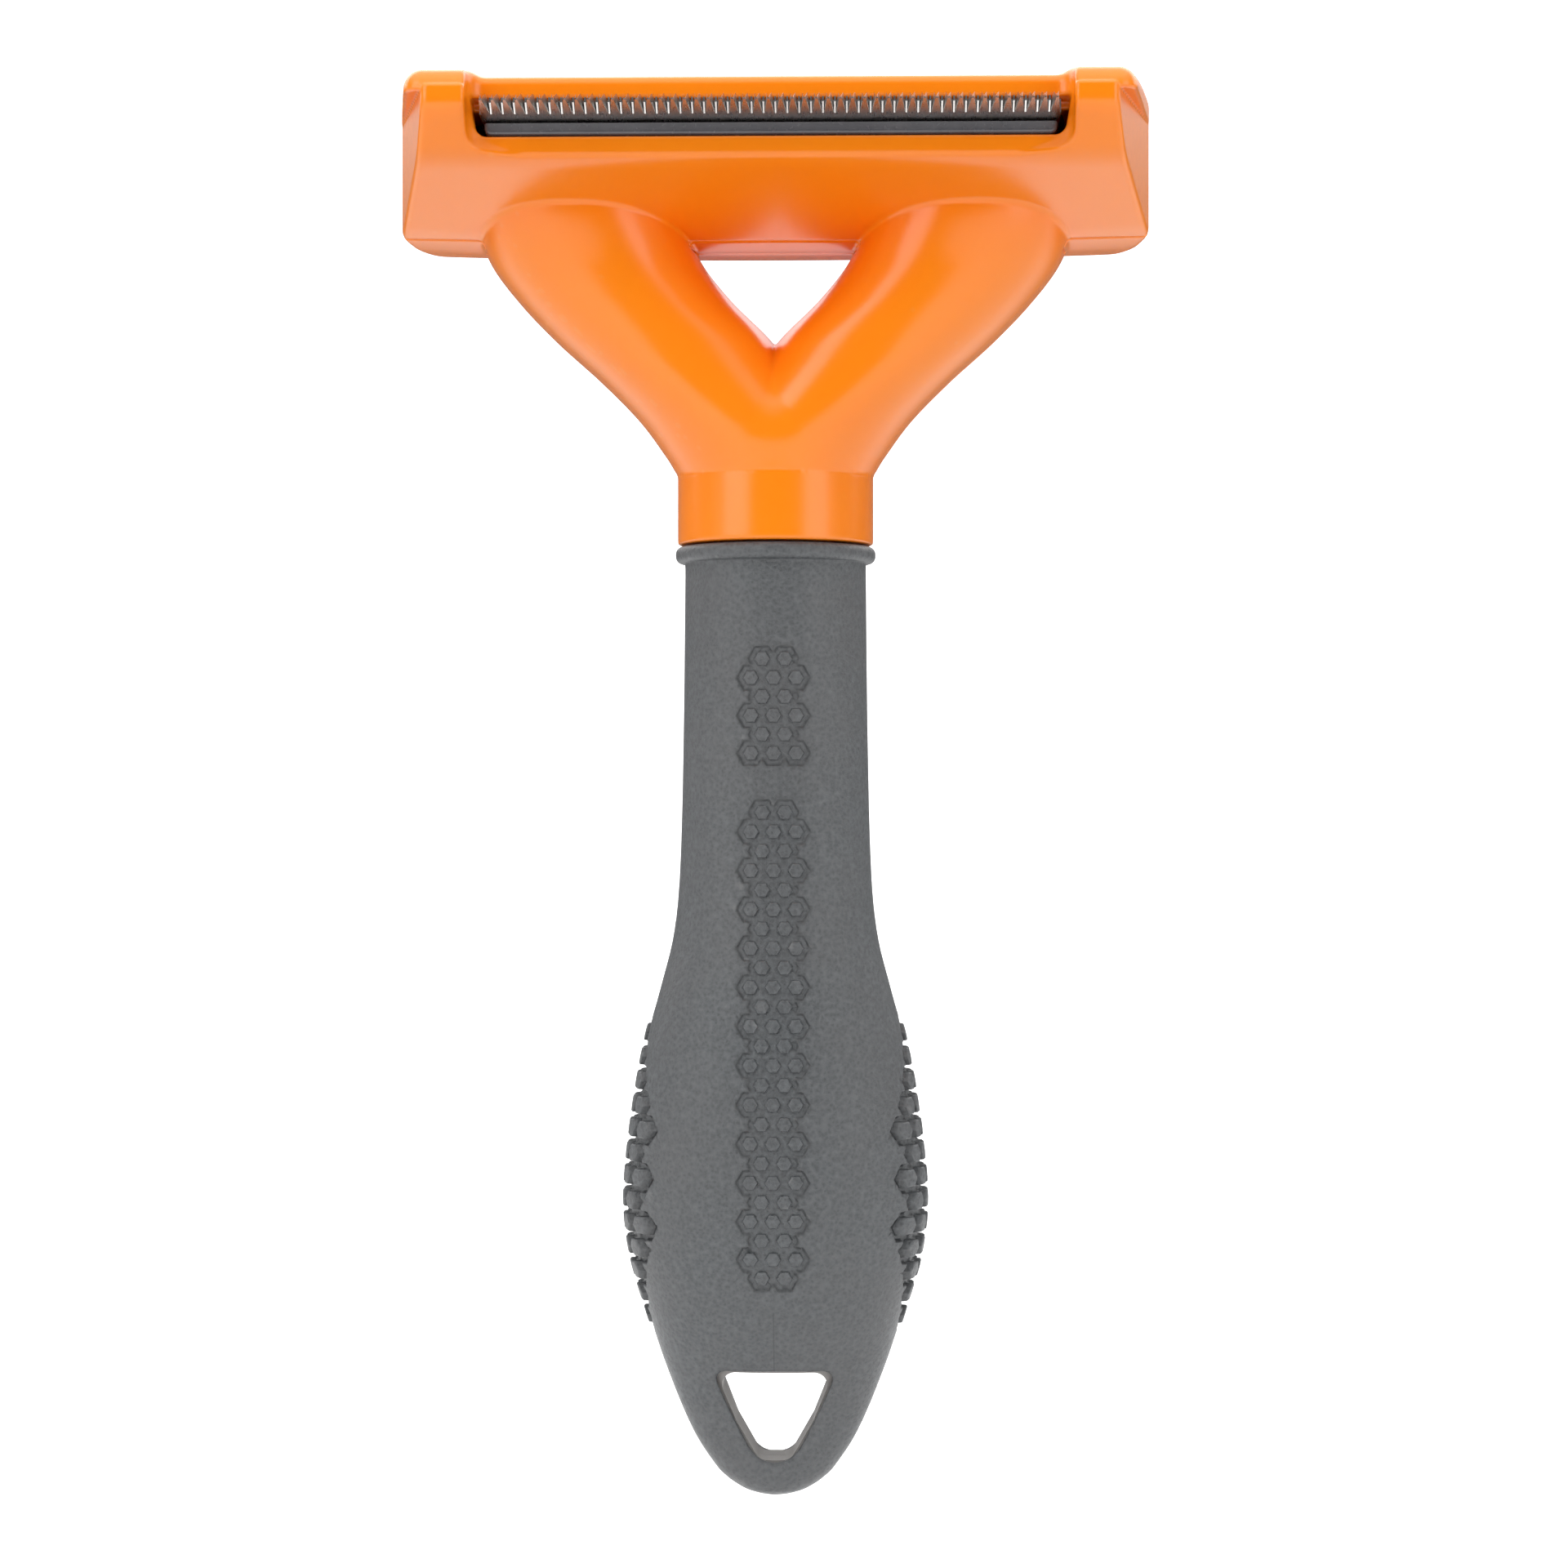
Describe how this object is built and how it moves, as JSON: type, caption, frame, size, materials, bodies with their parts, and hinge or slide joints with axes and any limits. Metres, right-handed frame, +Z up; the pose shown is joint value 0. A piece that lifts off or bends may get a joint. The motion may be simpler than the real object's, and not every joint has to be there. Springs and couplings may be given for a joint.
{
  "type": "deshedding tool",
  "caption": "Handheld deshedding comb: fine-toothed steel blade in a wide head with a push-button hair ejector bar, on a rubber-sleeved handle with a hang hole.",
  "frame": {"origin": "centre of the hang hole at the small end of the handle", "axes": "+Z up the handle to the head, +X across the head, +Y to the back of the tool; the teeth point toward -Y"},
  "size_m": [0.0884, 0.0505, 0.1662],
  "materials": {
    "orange_plastic": "satin",
    "blade_steel": "ground",
    "black_plastic": "matte",
    "fastener_steel": "plated",
    "dark_gloss_plastic": "glossy",
    "light_grey_plastic": "satin",
    "grey_rubber": "fine leather grain"
  },
  "bodies": {
    "handle": {"front_shell": "orange_plastic", "rear_shell": "orange_plastic", "comb_blade": "blade_steel", "blade_carrier": "black_plastic", "carrier_screws": "fastener_steel", "guide_bushes": "fastener_steel", "bush_washers": "fastener_steel", "blade_screws": "fastener_steel", "case_screws": "fastener_steel", "neck_screws": "fastener_steel", "core_front_half": "light_grey_plastic", "core_rear_half": "light_grey_plastic", "grip_sleeve": "grey_rubber", "spring_left": "fastener_steel", "spring_right": "fastener_steel"},
    "ejector": {"ejector_slider": "blade_steel", "ejector_bar": "dark_gloss_plastic", "bar_rivets": "fastener_steel", "eject_button": "dark_gloss_plastic", "button_screw": "fastener_steel", "spring_rods": "fastener_steel"}
  },
  "joints": [
    {"name": "eject_slide", "type": "slide", "parent": "handle", "child": "ejector", "axis": [0, -0.9945, 0.1045], "range_m": [0, 0.008], "stiffness_N_per_m": 400, "springref_m": -0.002, "deforming": ["spring_left", "spring_right"]}
  ]
}
